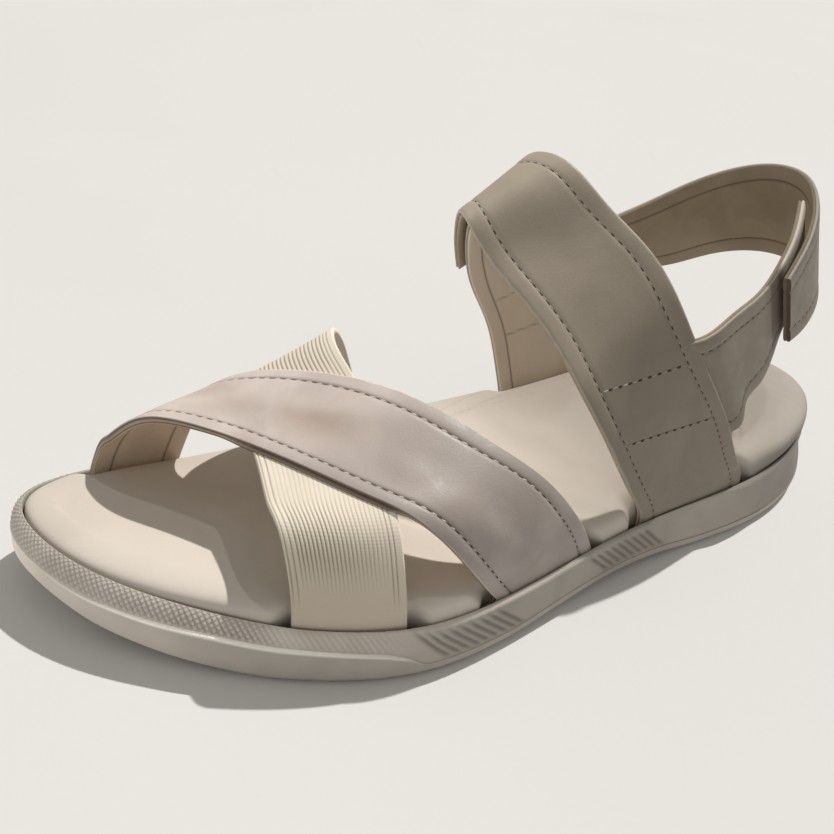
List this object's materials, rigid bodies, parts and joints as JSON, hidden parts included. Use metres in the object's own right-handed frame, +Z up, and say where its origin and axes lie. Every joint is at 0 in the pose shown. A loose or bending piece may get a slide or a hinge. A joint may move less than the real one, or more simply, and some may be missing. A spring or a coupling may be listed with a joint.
{
  "type": "strap sandal",
  "caption": "Flat open-toed left-foot sandal with crossed leather and elastic forefoot straps, an instep strap, a heel strap, a cushioned footbed and a low rubber sole.",
  "frame": {"origin": "middle of the sole's box, on the plane that the sole stands on", "axes": "+Z up; -Y to the toe and +Y to the heel; +X to the lateral side of this left shoe"},
  "size_m": [0.0939, 0.2658, 0.111],
  "materials": {
    "outsole_rubber": "matte moulded",
    "midsole_foam": "matte moulded foam",
    "footbed_leather": "smooth matte leather over a cushion",
    "forefoot_leather": "soft satin leather",
    "elastic_band": "ribbed woven elastic",
    "strap_leather": "smooth matte leather with folded edges",
    "hook_and_loop": "fuzzy pile"
  },
  "bodies": {
    "root": {"outsole": "outsole_rubber", "midsole": "midsole_foam", "footbed": "footbed_leather", "forefoot_straps": "forefoot_leather", "instep_strap": "strap_leather", "heel_strap": "strap_leather", "instep_fastener": "hook_and_loop", "heel_fastener": "hook_and_loop"}
  },
  "joints": []
}
